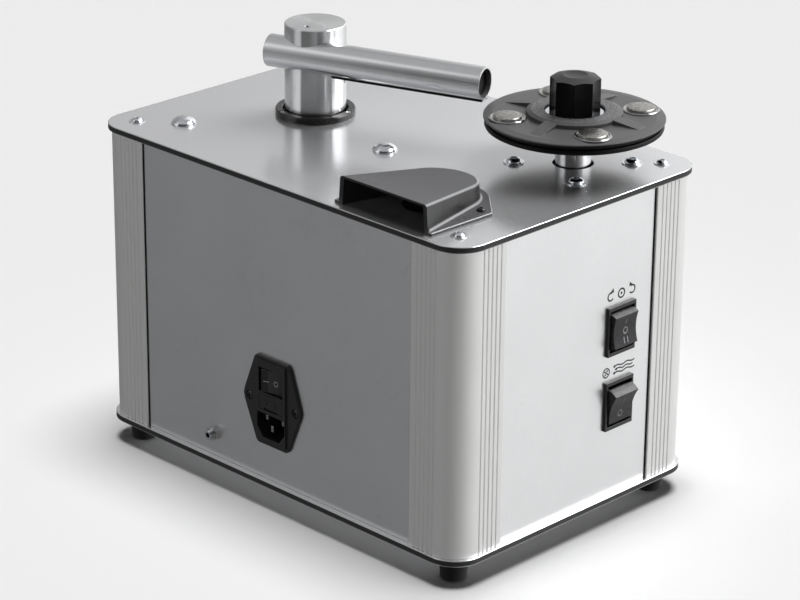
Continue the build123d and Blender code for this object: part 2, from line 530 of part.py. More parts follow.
can = can - zcyl(PNX, PNY, 142.9, 150, 2.05)
put("motor_can", can)

# --------------------------------------------------------------- suction arm
fl = lathe([(20.5, Z_TOP), (25.05, Z_TOP), (25.05, 216.7), (24.5, 217.5), (20.9, 217.5), (20.5, 217.1)], TUX, TUY)
for x, y in flange_at:
    fl -= zcyl(x, y, Z_TOP - 1, 219, 1.35)
    fl -= zcyl(x, y, 216.3, 219, 1.95)
put("turret_flange", fl)
fs = button_screw(1.75, 1.3, 1.8, 0.3, 1.25, 6.2, 1.3, 0.7)
put("flange_screws", group(*[Pos(x, y, 216.3) * fs for x, y in flange_at]))

dx, dy = math.cos(math.radians(TUBE_A)), math.sin(math.radians(TUBE_A))
sx, sy = -dy, dx
fx, fy = TUX - TUBE_OFF * sx, TUY - TUBE_OFF * sy


def along(t0, t1, r, z=TUBE_Z):
    """Cylinder on the tube's own axis."""
    return Pos(fx + dx * t0, fy + dy * t0, z) * Rot(0, 0, TUBE_A) * Rot(0, 90, 0) * Cylinder(r, t1 - t0, align=(Align.CENTER, Align.CENTER, Align.MIN))


def tube_box(t0, t1, a0, a1, z0, z1):
    return Pos(fx, fy, 0) * Rot(0, 0, TUBE_A) * box(t0, t1, a0, a1, z0, z1)


column = lathe([(0, COL_BOT), (COL_R, COL_BOT), (COL_R, COL_TOP - 0.6), (COL_R - 0.6, COL_TOP), (0, COL_TOP)], TUX, TUY)
column -= zcyl(TUX, TUY, COL_BOT - 1, 203.0, 17.5)
column -= zcyl(TUX, TUY, COL_BOT - 1, 214.0, 9.05)
column -= zcyl(TUX, TUY, 213.0, 250.0, 7.4)
column -= along(-40, 40, TUBE_R + 0.05)
column -= box(TUX + 17.0, TUX + 21, TUY - 1.8, TUY + 1.8, COL_BOT - 1, 199.5)
gx, gy = TUX - 10.3, TUY - 3.4
column -= zcyl(gx, gy, 255.0, COL_TOP + 1, 2.1)
ga = math.radians(-63.9)
column -= Pos(TUX, TUY, 235.8) * Rot(0, 0, -63.9) * Rot(0, 90, 0) * Pos(0, 0, 15.0) * Cylinder(1.6, 6.0, align=(Align.CENTER, Align.CENTER, Align.MIN))
put("turret_column", column)

atube = along(TUBE_T0, TUBE_T1, TUBE_R) - along(TUBE_T0 - 1, TUBE_T1 + 1, TUBE_RI)
atube -= tube_box(SLOT_T0, SLOT_T1, -1.5, 1.5, TUBE_Z - 12, TUBE_Z - 5)
atube -= zcyl(TUX, TUY, 240.0, 250.0, 7.4)
put("arm_tube", atube)
plug_a = along(TUBE_T1 - 9.0, TUBE_T1 - 2.2, TUBE_RI - 0.02) - along(TUBE_T1 - 4.0, TUBE_T1, 7.6)
plug_b = along(TUBE_T0 + 2.2, TUBE_T0 + 9.0, TUBE_RI - 0.02) - along(TUBE_T0, TUBE_T0 + 4.0, 7.6)
plug_a -= tube_box(SLOT_T0, SLOT_T1 + 0.5, -1.6, 1.6, TUBE_Z - 12, TUBE_Z - 5)
put("tube_plugs", group(plug_a, plug_b))
felts = []
for s in (-1, 1):
    a0, a1 = sorted((s * 1.7, s * 4.3))
    f = tube_box(TUBE_T0 + 44.5, TUBE_T1 - 0.3, a0, a1, TUBE_Z - TUBE_R - 0.4, TUBE_Z - 6.0)
    felts.append(f - along(TUBE_T0 - 2, TUBE_T1 + 2, TUBE_R + 0.01))
put("felt_strips", group(*felts))
grub = lathe([(0, 264.4), (1.7, 264.4), (2.0, 264.8), (2.0, 271.4), (1.6, 271.8), (0, 271.8)])
grub -= hexprism(0, 0, 269.6, 273, 1.9)
side = Pos(TUX, TUY, 235.8) * Rot(0, 0, -63.9) * Rot(0, 90, 0) * Pos(0, 0, 15.1) * (Cylinder(1.5, 3.4, align=(Align.CENTER, Align.CENTER, Align.MIN)) - Pos(0, 0, 2.0) * extrude(RegularPolygon(0.9, 6), 2))
put("arm_grub_screws", group(Pos(gx, gy, 0) * grub, side))
put("riser_pipe", tube(TUX, TUY, 130.0, 213.9, 9.0, 7.4))

guide = lathe([(14.0, 180.0), (28.0, 180.0), (30.0, 182.0), (30.0, ZC1 - 0.05), (22.0, ZC1 - 0.05), (22.0, 184.0), (14.0, 184.0)], TUX, TUY)
put("turret_guide", guide)
swivel = lathe([(12.0, 184.05), (21.95, 184.05), (21.95, 209.3), (19.25, 209.3), (19.25, 187.0), (12.0, 187.0)], TUX, TUY)
swivel += box(TUX + 17.6, TUX + 20.0, TUY - 1.4, TUY + 1.4, 186.5, 196.0)
put("swivel_sleeve", swivel)
coil_path = Helix(pitch=3.6, height=14.4, radius=15.2)
coil_path = Pos(0, 0, 0) * coil_path
start = coil_path @ 0
tan = coil_path % 0
coil = sweep(Plane(origin=start, z_dir=tan) * Circle(0.7), path=coil_path)
put("lift_spring", Pos(TUX, TUY, 187.85) * coil)

# ------------------------------------------------------------ tank and hoses
TX0, TX1, TY0, TY1, TZ0, TZ1 = -54.0, 58.0, -16.0, 128.0, 26.0, 170.0
tank = fillet(box(TX0, TX1, TY0, TY1, TZ0, TZ1).edges().filter_by(Axis.Z), 8.0)
tank -= fillet(box(TX0 + 2.5, TX1 - 2.5, TY0 + 2.5, TY1 - 2.5, TZ0 + 3.0, TZ1 + 1).edges().filter_by(Axis.Z), 5.5)
tank += xcyl(TX0 - 12.0, TX0 + 0.5, DRY, DRZ, 2.9) + ycyl(TY0 - 14.0, TY0 + 0.5, 4.0, 150.0, 6.0)
tank -= xcyl(TX0 - 13.0, TX0 + 4, DRY, DRZ, 1.7) + ycyl(TY0 - 15, TY0 + 4, 4.0, 150.0, 4.4)
put("waste_tank", tank)
lid2d = RectangleRounded(TX1 - TX0 + 4, TY1 - TY0 + 4, 10.0)
lid = Pos((TX0 + TX1) / 2, (TY0 + TY1) / 2, TZ1 + 0.02) * extrude(lid2d, 5.0)
lid += zcyl(dome_at[0][0], dome_at[0][1], TZ1 + 0.02, TZ1 + 5.02, 12.0)
lid += box(dome_at[0][0], TX0 + 3, dome_at[0][1] - 12, dome_at[0][1] + 12, TZ1 + 0.02, TZ1 + 5.02)
for x, y in dome_at:
    lid += zcyl(x, y, TZ1 + 3, ZC1 - 0.05, 9.0)
    lid -= zcyl(x, y, ZC1 - 28, ZC1 + 1, 4.0)
lid -= zcyl(TUX, TUY, TZ1 - 1, TZ1 + 6, 9.4)
put("tank_lid", lid)
put("drain_hose", xcyl(FX + 4.4, TX0 - 0.1, DRY, DRZ, 4.8) - xcyl(FX, TX0 + 1, DRY, DRZ, 2.95))
BZ = 35.0
boot = zcyl(VMX, VMY, ZC0 + 0.05, 50.0, 34.0) - zcyl(VMX, VMY, 23.0, 47.0, 30.0) - zcyl(VMX, VMY, 46.0, 51.0, 14.0)
boot += xcyl(VMX + 33.0, VMX + 48.0, VMY, BZ, 6.0)
boot -= xcyl(VMX + 25.0, VMX + 49.0, VMY, BZ, 4.4)
put("suction_boot", boot)
hp = [(VMX + 34.2, VMY, BZ), (4.0, VMY, BZ), (4.0, -50.0, 70.0), (4.0, -42.0, 150.0), (4.0, TY0 - 0.2, 150.0)]
hr = []
for i in range(1, len(hp) - 1):
    a = Vector(*hp[i]) - Vector(*hp[i - 1])
    b = Vector(*hp[i + 1]) - Vector(*hp[i])
    t = math.radians(a.get_angle(b))
    hr.append(0.45 * min(a.length, b.length) / math.tan(t / 2))
print("suction hose bends", [round(r, 1) for r in hr])
hline = FilletPolyline(*hp, radius=hr)
hsec = Plane(origin=hp[0], z_dir=(1, 0, 0))
hose = sweep(hsec * Circle(8.0), path=hline) - sweep(hsec * Circle(6.05), path=hline)
put("suction_hose", hose)

# -------------------------------------------------------------- vacuum motor
vm = lathe([(14.0, 50.05), (39.5, 50.05), (41.0, 51.5), (41.0, 89.0), (39.5, 90.5), (31.0, 90.5), (31.0, 165.0), (4.1, 165.0), (4.1, 162.0), (28.5, 162.0), (28.5, 88.0), (38.5, 88.0), (38.5, 52.5), (14.0, 52.5)], VMX, VMY)
for k in range(6):
    a = math.radians(60 * k)
    vm -= zcyl(VMX + 19 * math.cos(a), VMY + 19 * math.sin(a), 160, 167, 6.0)
put("vacuum_motor_housing", vm)
imp = zcyl(VMX, VMY, 78.0, 80.5, 36.0) + zcyl(VMX, VMY, 56.0, 163.5, 4.0) + zcyl(VMX, VMY, 98.0, 150.0, 15.0) + zcyl(VMX, VMY, 60.0, 79.0, 8.0)
for k in range(8):
    imp += Pos(VMX, VMY, 0) * Rot(0, 0, 45 * k) * Pos(7, 0, 0) * Rot(0, 0, 28) * box(0, 27.0, -0.8, 0.8, 62.0, 78.5)
imp = imp & zcyl(VMX, VMY, 50, 170, 36.0)
put("impeller", imp)
put("exhaust_duct", tube(VMX, VMY, 150.0, ZC1 - 0.05, 33.2, 31.1))

# ------------------------------------------------------------------ electrics
CPX, CPY = 80.0, -30.0
cap = lathe([(0, ZC0 + 0.05), (14.0, ZC0 + 0.05), (15.0, ZC0 + 1.0), (15.0, 75.0), (14.0, 76.0), (5.0, 76.0), (4.5, 79.0), (0, 79.0)], CPX, CPY)
put("motor_capacitor", cap)


def wire(points, r=1.3):
    rad = []
    for i in range(1, len(points) - 1):
        a = Vector(*points[i]) - Vector(*points[i - 1])
        b = Vector(*points[i + 1]) - Vector(*points[i])
        t = math.radians(a.get_angle(b))
        rad.append(min(14.0, 0.45 * min(a.length, b.length) / math.tan(t / 2)))
    line = FilletPolyline(*points, radius=rad)
    z = (Vector(*points[1]) - Vector(*points[0])).normalized()
    return sweep(Plane(origin=points[0], z_dir=z) * Circle(r), path=line)


wx = FX + 33.3
wires = [
    wire([(wx, 10.0, 86.0), (-63.0, 10.0, 86.0), (-61.5, -30.0, 84.0), (-8.0, -34.0, 82.0), (24.0, -36.0, 80.0), (31.0, -80.0, 80.0), (SWX + 0.3, FY + 28.4, SW2Z)]),
    wire([(wx, 4.0, 90.0), (-66.0, 4.0, 90.0), (-64.5, -29.0, 92.0), (-10.0, -29.5, 95.0), (20.0, -31.0, 104.0), (34.5, -84.0, 122.0), (SWX + 0.3, FY + 28.4, SW1Z)]),
    wire([(CPX - 2.0, CPY, 79.1), (CPX - 2.0, CPY, 118.0), (72.0, -64.0, 128.0), (SWX + 0.3, -90.0, 138.0), (SWX + 0.3, FY + 28.4, SW1Z + 8.0)]),
]
put("wiring", group(*wires))

# --------------------------------------------------------------------- write
lo = [1e9] * 3
hi = [-1e9] * 3
shift_all = Location((OX, OY, 0))
for name, shape in parts.items():
    moved = shape.moved(shift_all)
    bb = moved.bounding_box()
    for i, (a, b) in enumerate(((bb.min.X, bb.max.X), (bb.min.Y, bb.max.Y), (bb.min.Z, bb.max.Z))):
        lo[i], hi[i] = min(lo[i], a), max(hi[i], b)
    export_step(moved, f"parts/{name}.step")
print(len(parts), "nodes; box", [round(v, 3) for v in lo], [round(v, 3) for v in hi])
print("middle", round((lo[0] + hi[0]) / 2, 3), round((lo[1] + hi[1]) / 2, 3))
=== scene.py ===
import math
import bpy
import bmesh
from mathutils import Matrix, Vector
from mathutils.bvhtree import BVHTree


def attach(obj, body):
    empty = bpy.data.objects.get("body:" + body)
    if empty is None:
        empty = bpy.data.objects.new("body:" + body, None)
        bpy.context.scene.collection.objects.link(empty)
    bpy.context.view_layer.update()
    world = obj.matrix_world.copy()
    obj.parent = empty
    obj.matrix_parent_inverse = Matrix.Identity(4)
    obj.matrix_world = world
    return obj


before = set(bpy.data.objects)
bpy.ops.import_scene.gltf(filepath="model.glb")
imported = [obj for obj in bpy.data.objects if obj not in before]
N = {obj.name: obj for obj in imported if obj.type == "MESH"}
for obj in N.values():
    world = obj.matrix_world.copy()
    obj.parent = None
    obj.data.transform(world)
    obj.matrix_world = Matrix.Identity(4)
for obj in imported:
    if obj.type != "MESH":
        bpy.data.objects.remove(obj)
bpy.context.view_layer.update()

scene = bpy.context.scene
MM = 0.001
OX, OY = 1.35, 1.374            # case coordinates to the frame's, mm


def V(x, y, z):
    """Millimetres about the middle of the case to the frame, in metres."""
    return Vector(((x + OX) * MM, (y + OY) * MM, z * MM))


# ---------------------------------------------------------------- camera
cam_data = bpy.data.cameras.new("camera")
cam = bpy.data.objects.new("camera", cam_data)
scene.collection.objects.link(cam)
cam_data.sensor_fit = "HORIZONTAL"
cam_data.sensor_width = 36.0
cam_data.lens = 137.94
cam_data.clip_start, cam_data.clip_end = 0.05, 60.0
C = Vector((-1.24872, -1.237416, 0.82700))
R = Vector((0.70496, -0.70920, 0.00830))
U = Vector((0.26218, 0.27145, 0.92606))
F = Vector((0.65901, 0.65066, -0.37729))
cam.matrix_world = Matrix(((R.x, U.x, -F.x, C.x), (R.y, U.y, -F.y, C.y), (R.z, U.z, -F.z, C.z), (0, 0, 0, 1)))
scene.camera = cam
scene.view_settings.view_transform = "Standard"
scene.view_settings.look = "None"

# ------------------------------------------------------------ light round it
world = bpy.data.worlds.new("studio")
scene.world = world
world.use_nodes = True
wt = world.node_tree
wt.nodes.clear()


def wnode(kind, **props):
    n = wt.nodes.new(kind)
    for k, v in props.items():
        setattr(n, k, v)
    return n


def wmath(op, a, b=0.0):
    n = wnode("ShaderNodeMath", operation=op)
    for i, s in enumerate((a, b)):
        if isinstance(s, (int, float)):
            n.inputs[i].default_value = s
        else:
            wt.links.new(s, n.inputs[i])
    return n.outputs[0]


def wramp(fac, stops):
    n = wnode("ShaderNodeValToRGB")
    e = n.color_ramp.elements
    while len(e) > 1:
        e.remove(e[-1])
    for i, (deg, val) in enumerate(stops):
        c = val if isinstance(val, tuple) else (val, val, val)
        el = e[0] if i == 0 else e.new(deg / 360.0)
        el.position = deg / 360.0
        el.color = (c[0] / 2, c[1] / 2, c[2] / 2, 1.0)
    wt.links.new(fac, n.inputs[0])
    return n.outputs[0]


def wstep(value, a, b):
    n = wnode("ShaderNodeMapRange", interpolation_type="SMOOTHSTEP")
    wt.links.new(value, n.inputs[0])
    n.inputs[1].default_value = a
    n.inputs[2].default_value = b
    return n.outputs[0]


def wmix(fac, a, b):
    n = wnode("ShaderNodeMix", data_type="RGBA")
    if isinstance(fac, float):
        n.inputs[0].default_value = fac
    else:
        wt.links.new(fac, n.inputs[0])
    for i, s in ((6, a), (7, b)):
        if isinstance(s, tuple):
            n.inputs[i].default_value = s
        else:
            wt.links.new(s, n.inputs[i])
    return n.outputs[2]


sep = wnode("ShaderNodeSeparateXYZ")
wt.links.new(wnode("ShaderNodeTexCoord").outputs["Generated"], sep.inputs[0])
turn = wmath("FRACT", wmath("ADD", wmath("DIVIDE", wmath("ARCTAN2", sep.outputs[1], sep.outputs[0]), 2 * math.pi), 1.0))
zdir = sep.outputs[2]
# what the sides of the case mirror, below the horizon
LOW = [(0, 0.90), (20, 0.80), (38, 0.62), (50, 0.34), (95, 0.20), (112, (0.196, 0.199, 0.206)), (138, (0.206, 0.209, 0.215)), (150, 0.54), (169, 0.54), (174, 0.14), (205, 0.15), (225, 0.26), (250, 0.48), (268, 0.90), (290, 1.17), (340, 1.17), (360, 0.96)]
# what the top mirrors, from the horizon up
MID = [(0, 1.34), (14, 1.30), (30, 1.22), (38, 1.02), (45, 0.60), (54, 0.41), (95, 0.34), (128, 0.36), (136, 0.85), (150, 1.05), (165, 1.05), (171, 0.07), (238, 0.06), (256, 0.20), (266, 0.40), (284, 0.80), (291, 1.85), (345, 1.80), (360, 1.20)]
low = wramp(turn, LOW)
mid = wramp(turn, MID)
low = wmix(wstep(zdir, -0.47, -0.37), wmix(0.30, low, (0.0, 0.0, 0.0, 1.0)), low)
sky = wmix(wstep(zdir, -0.05, 0.05), low, mid)
sky = wmix(wstep(zdir, 0.68, 0.88), sky, (0.24, 0.24, 0.245, 1.0))
# a strong softbox high on the right, which the bevels and domes pick up
box = wmath("MULTIPLY", wstep(turn, 0.795, 0.825), wmath("SUBTRACT", 1.0, wstep(turn, 0.955, 0.980)))
box = wmath("MULTIPLY", box, wmath("MULTIPLY", wstep(zdir, 0.42, 0.54), wmath("SUBTRACT", 1.0, wstep(zdir, 0.82, 0.90))))
sky = wmix(box, sky, (4.2, 4.2, 4.2, 1.0))
bg = wnode("ShaderNodeBackground")
wt.links.new(sky, bg.inputs[0])
bg.inputs[1].default_value = 2.0
wt.links.new(bg.outputs[0], wnode("ShaderNodeOutputWorld").inputs[0])
world.cycles_visibility.diffuse = False


def soft_light(name, azimuth, elevation, size, strength):
    """A far softbox: where it stands, how wide it looks, how much it gives."""
    d = bpy.data.lights.new(name, "SUN")
    d.angle = math.radians(size)
    d.energy = strength
    o = bpy.data.objects.new(name, d)
    a, e = math.radians(azimuth), math.radians(elevation)
    o.rotation_euler = Vector((math.cos(e) * math.cos(a), math.cos(e) * math.sin(a), math.sin(e))).to_track_quat("Z", "Y").to_euler()
    o.visible_glossy = False
    scene.collection.objects.link(o)
    return o


floor_lights = [soft_light("over_the_table", -42.0, 85.5, 30.0, 2.94)]
object_lights = [soft_light("overhead", 20.0, 78.0, 44.0, 1.25), soft_light("right_box", -12.0, 48.0, 38.0, 3.0), soft_light("left_card", 205.0, 20.0, 50.0, 0.42)]

# ----------------------------------------------------------------- floor
fm = bmesh.new()
bmesh.ops.create_grid(fm, x_segments=8, y_segments=8, size=6.0)
fme = bpy.data.meshes.new("floor")
fm.to_mesh(fme)
fm.free()
floor = bpy.data.objects.new("floor", fme)
scene.collection.objects.link(floor)
floor.visible_glossy = False
floor.visible_diffuse = False
floor.visible_shadow = False


# -------------------------------------------------------- material helper
class Mat:
    """A node material read from the object's own coordinates, in metres."""

    def __init__(self, name):
        self.m = bpy.data.materials.new(name)
        self.m.use_nodes = True
        self.t = self.m.node_tree
        self.t.nodes.clear()
        out = self.t.nodes.new("ShaderNodeOutputMaterial")
        self.b = self.t.nodes.new("ShaderNodeBsdfPrincipled")
        self.t.links.new(self.b.outputs[0], out.inputs[0])
        self.co = self.t.nodes.new("ShaderNodeTexCoord").outputs["Object"]
        self._xyz = None

    def node(self, kind, **props):
        n = self.t.nodes.new(kind)
        for k, v in props.items():
            setattr(n, k, v)
        return n

    def put(self, value, sock):
        if isinstance(value, (int, float)):
            sock.default_value = value
        elif isinstance(value, tuple):
            sock.default_value = value if len(value) == 4 else value + (1.0,)
        else:
            self.t.links.new(value, sock)

    def const(self, **values):
        for k, v in values.items():
            self.put(v, self.b.inputs[k.replace("_", " ")])
        return self

    def xyz(self):
        if self._xyz is None:
            n = self.node("ShaderNodeSeparateXYZ")
            self.t.links.new(self.co, n.inputs[0])
            self._xyz = n.outputs
        return self._xyz

    def math(self, op, a, b=0.0, c=0.0, clamp=False):
        n = self.node("ShaderNodeMath", operation=op, use_clamp=clamp)
        for i, s in enumerate((a, b, c)):
            self.put(s, n.inputs[i])
        return n.outputs[0]

    def scaled(self, sx, sy, sz, turn_z=0.0, src=None):
        v = src or self.co
        if turn_z:
            r = self.node("ShaderNodeVectorRotate", rotation_type="Z_AXIS")
            self.t.links.new(v, r.inputs["Vector"])
            r.inputs["Angle"].default_value = turn_z
            v = r.outputs[0]
        n = self.node("ShaderNodeMapping")
        self.t.links.new(v, n.inputs[0])
        n.inputs["Scale"].default_value = (sx, sy, sz)
        return n.outputs[0]

    def noise(self, scale=1.0, detail=2.0, rough=0.5, vec=None, distort=0.0):
        n = self.node("ShaderNodeTexNoise")
        self.t.links.new(vec or self.co, n.inputs["Vector"])
        n.inputs["Scale"].default_value = scale
        n.inputs["Detail"].default_value = detail
        n.inputs["Roughness"].default_value = rough
        n.inputs["Distortion"].default_value = distort
        return n.outputs[0]

    def remap(self, v, a, b, c, d, smooth=False):
        n = self.node("ShaderNodeMapRange", interpolation_type="SMOOTHSTEP" if smooth else "LINEAR")
        self.put(v, n.inputs[0])
        for i, x in enumerate((a, b, c, d)):
            n.inputs[i + 1].default_value = x
        return n.outputs[0]

    def mix(self, fac, a, b):
        n = self.node("ShaderNodeMix", data_type="RGBA")
        self.put(fac, n.inputs[0])
        self.put(a, n.inputs[6])
        self.put(b, n.inputs[7])
        return n.outputs[2]

    def mixf(self, fac, a, b):
        n = self.node("ShaderNodeMix", data_type="FLOAT")
        self.put(fac, n.inputs[0])
        self.put(a, n.inputs[2])
        self.put(b, n.inputs[3])
        return n.outputs[0]

    def tint(self, colour, v, amount):
        """colour made lighter and darker by v, which lies round 0.5."""
        lo = tuple(x * (1 - amount) for x in colour)
        hi = tuple(x * (1 + amount) for x in colour)
        return self.mix(v, lo, hi)

    def bump(self, height, dist, strength=1.0, normal=None):
        n = self.node("ShaderNodeBump")
        n.inputs["Strength"].default_value = strength
        n.inputs["Distance"].default_value = dist
        self.t.links.new(height, n.inputs["Height"])
        if normal is not None:
            self.t.links.new(normal, n.inputs["Normal"])
        return n.outputs[0]

    def bevel(self, radius, samples=4):
        n = self.node("ShaderNodeBevel", samples=samples)
        n.inputs[0].default_value = radius
        return n.outputs[0]

    def edge(self, soft):
        """1 on a sharp edge, 0 away from it."""
        n = self.node("ShaderNodeVectorMath", operation="DOT_PRODUCT")
        self.t.links.new(soft, n.inputs[0])
        self.t.links.new(self.node("ShaderNodeNewGeometry").outputs["Normal"], n.inputs[1])
        return self.remap(n.outputs["Value"], 0.82, 0.98, 1.0, 0.0)

    def radius_from(self, x, y):
        """Distance from the vertical axis through a point given about the case middle, mm."""
        p = V(x, y, 0)
        dx = self.math("SUBTRACT", self.xyz()[0], p.x)
        dy = self.math("SUBTRACT", self.xyz()[1], p.y)
        return self.math("SQRT", self.math("ADD", self.math("MULTIPLY", dx, dx), self.math("MULTIPLY", dy, dy)))

    def xyz_vec(self, x, y, z):
        n = self.node("ShaderNodeCombineXYZ")
        for i, s in enumerate((x, y, z)):
            self.put(s, n.inputs[i])
        return n.outputs[0]


def brushed(name, colour, rough, stretch, turn_z=0.0, line=0.05, depth=0.000004, spread=0.05, bevel=0.0003, blotch=0.02):
    """Metal with fine lines along one direction."""
    k = Mat(name)
    lines = k.noise(1.0, 3.0, 0.6, k.scaled(*stretch, turn_z=turn_z))
    cloud = k.noise(28.0, 3.0, 0.55)
    base = k.tint(colour, lines, line)
    k.put(k.mix(k.math("MULTIPLY", cloud, blotch * 4), base, tuple(c * 0.9 for c in colour)), k.b.inputs["Base Color"])
    k.put(k.math("ADD", k.remap(lines, 0.25, 0.75, rough - spread, rough + spread), k.remap(cloud, 0.3, 0.7, -0.02, 0.02)), k.b.inputs["Roughness"])
    k.const(Metallic=1.0)
    k.put(k.bump(lines, depth, 0.8, k.bevel(bevel) if bevel else None), k.b.inputs["Normal"])
    return k


def grained(name, colour, rough, metallic=0.0, size=0.0004, depth=0.00001, amount=0.06, spread=0.06, bevel=0.0003, specular=0.5, patch=0.03, painted_edge_highlight=0.0, painted_rim_light=0.0):
    """Moulded or blasted surface with a fine grain and soft patches; it can paint pale sharp edges as a highlight, and
    paint shade on upright walls with a highlight on the rounded borders.
    """
    k = Mat(name)
    fine = k.noise(1.0 / size, 3.0, 0.6)
    wide = k.noise(1.0 / (size * 7), 3.0, 0.55)
    cloud = k.noise(22.0, 3.0, 0.5)
    both = k.mixf(0.35, fine, wide)
    base = k.tint(colour, both, amount)
    skin = k.mix(k.remap(cloud, 0.35, 0.7, 0.0, patch * 6), base, tuple(c * 0.85 for c in colour))
    soft = k.bevel(bevel) if bevel else None
    # painted highlight: sharp edges found by the bevel are painted pale grey, stronger in patches
    if painted_edge_highlight:
        skin = k.mix(k.math("MULTIPLY", k.edge(soft), k.remap(wide, 0.3, 0.6, painted_edge_highlight * 0.5, painted_edge_highlight)), skin, (0.30, 0.30, 0.305))
    if painted_rim_light:
        # painted shade and highlight: upright walls are painted darker, and the rounded borders between a wall and a
        # level face are painted paler
        s = k.node("ShaderNodeSeparateXYZ")
        k.t.links.new(k.node("ShaderNodeTexCoord").outputs["Normal"], s.inputs[0])
        nz = s.outputs[2]
        painted_wall_shade = k.remap(nz, 0.25, 0.45, 1.0, 0.0, smooth=True)
        skin = k.mix(painted_wall_shade, skin, tuple(c * 0.30 for c in colour))
        painted_fillet_highlight = k.math("MULTIPLY", k.remap(nz, 0.35, 0.62, 0.0, 1.0, smooth=True), k.remap(nz, 0.86, 0.97, 1.0, 0.0, smooth=True))
        skin = k.mix(k.math("MULTIPLY", painted_fillet_highlight, painted_rim_light), skin, (0.42, 0.42, 0.43))
    k.put(skin, k.b.inputs["Base Color"])
    k.put(k.math("ADD", k.remap(both, 0.3, 0.7, rough - spread, rough + spread), k.remap(cloud, 0.3, 0.7, -0.03, 0.03)), k.b.inputs["Roughness"])
    k.const(Metallic=metallic, Specular_IOR_Level=specular)
    k.put(k.bump(both, depth, 0.9, soft), k.b.inputs["Normal"])
    return k


# --------------------------------------------------------------- materials
def composite_sheet():
    k = Mat("composite_sheet")
    z = k.xyz()[2]
    off = k.math("MINIMUM", k.math("ABSOLUTE", k.math("SUBTRACT", z, 0.2115)), k.math("ABSOLUTE", k.math("SUBTRACT", z, 0.0170)))
    core = k.remap(off, 0.00146, 0.00154, 1.0, 0.0)
    fine = k.noise(1.0, 3.0, 0.6, k.scaled(2600, 900, 2600))
    grain = k.noise(1900.0, 2.0, 0.5)
    cloud = k.noise(14.0, 3.0, 0.5)
    both = k.mixf(0.5, fine, grain)
    skin = k.tint((0.700, 0.706, 0.718), both, 0.07)
    dark = k.tint((0.030, 0.030, 0.032), k.noise(1400.0, 3.0, 0.6), 0.5)
    k.put(k.mix(core, skin, dark), k.b.inputs["Base Color"])
    k.put(k.mixf(core, 0.72, 0.0), k.b.inputs["Metallic"])
    rs = k.math("ADD", k.remap(both, 0.3, 0.7, 0.17, 0.23), k.remap(cloud, 0.3, 0.7, -0.02, 0.02))
    k.put(k.mixf(core, rs, 0.55), k.b.inputs["Roughness"])
    k.put(k.bump(both, 0.000005, 0.7, k.bevel(0.00030)), k.b.inputs["Normal"])
    return k


def turned_column():
    k = Mat("turned_column")
    r = k.radius_from(3.6, 74.5)
    z = k.xyz()[2]
    rings = k.noise(1.0, 4.0, 0.65, k.xyz_vec(k.math("MULTIPLY", r, 5200.0), k.math("MULTIPLY", z, 4200.0), 0.0))
    wide = k.noise(1.0, 3.0, 0.6, k.xyz_vec(k.math("MULTIPLY", r, 700.0), k.math("MULTIPLY", z, 400.0), 3.0))
    k.put(k.tint((0.75, 0.755, 0.765), k.mixf(0.4, rings, wide), 0.13), k.b.inputs["Base Color"])
    k.put(k.remap(rings, 0.25, 0.75, 0.13, 0.22), k.b.inputs["Roughness"])
    k.const(Metallic=1.0, Anisotropic=0.88, Anisotropic_Rotation=0.25)
    tg = k.node("ShaderNodeTangent", direction_type="RADIAL", axis="Z")
    k.t.links.new(tg.outputs[0], k.b.inputs["Tangent"])
    k.put(k.bump(rings, 0.000003, 0.7, k.bevel(0.00025)), k.b.inputs["Normal"])
    return k


def turned_sleeve():
    k = Mat("turned_sleeve")
    r = k.radius_from(50.0, -99.3)
    z = k.xyz()[2]
    rings = k.noise(1.0, 4.0, 0.65, k.xyz_vec(k.math("MULTIPLY", r, 5200.0), k.math("MULTIPLY", z, 4200.0), 0.0))
    k.put(k.tint((0.80, 0.80, 0.81), rings, 0.10), k.b.inputs["Base Color"])
    k.put(k.remap(rings, 0.25, 0.75, 0.14, 0.24), k.b.inputs["Roughness"])
    k.const(Metallic=1.0, Anisotropic=0.6, Anisotropic_Rotation=0.25)
    tg = k.node("ShaderNodeTangent", direction_type="RADIAL", axis="Z")
    k.t.links.new(tg.outputs[0], k.b.inputs["Tangent"])
    k.put(k.bump(rings, 0.000003, 0.7, k.bevel(0.00025)), k.b.inputs["Normal"])
    return k


def clamp_plastic():
    """Moulded disc, with a coarser ring round the knob."""
    k = Mat("clamp_plastic")
    r = k.radius_from(50.0, -99.3)
    z = k.xyz()[2]
    ring = k.math("MULTIPLY", k.math("MULTIPLY", k.remap(r, 0.0183, 0.0189, 0.0, 1.0), k.remap(r, 0.0258, 0.0264, 1.0, 0.0)), k.remap(z, 0.2466, 0.2470, 0.0, 1.0))
    fine = k.noise(2600.0, 3.0, 0.6)
    coarse = k.noise(760.0, 3.0, 0.7)
    cloud = k.noise(45.0, 3.0, 0.5)
    grain = k.mixf(ring, fine, coarse)
    col = k.tint((0.076, 0.076, 0.078), fine, 0.20)
    ringcol = k.mix(k.remap(coarse, 0.40, 0.60, 0.0, 1.0), (0.016, 0.016, 0.017), (0.20, 0.20, 0.204))
    col = k.mix(ring, col, ringcol)
    col = k.mix(k.remap(cloud, 0.4, 0.7, 0.0, 0.25), col, (0.056, 0.056, 0.058))
    soft = k.bevel(0.00035)
    # painted highlight: sharp edges of the disc are painted paler
    col = k.mix(k.math("MULTIPLY", k.edge(soft), 0.55), col, (0.42, 0.42, 0.43))
    k.put(col, k.b.inputs["Base Color"])
    k.put(k.remap(grain, 0.3, 0.7, 0.38, 0.52), k.b.inputs["Roughness"])
    k.const(Metallic=0.0, Specular_IOR_Level=0.42)
    n0 = k.bump(fine, 0.000012, 0.7, soft)
    h = k.math("MULTIPLY", coarse, ring)
    k.put(k.bump(h, 0.00025, 0.9, n0), k.b.inputs["Normal"])
    return k


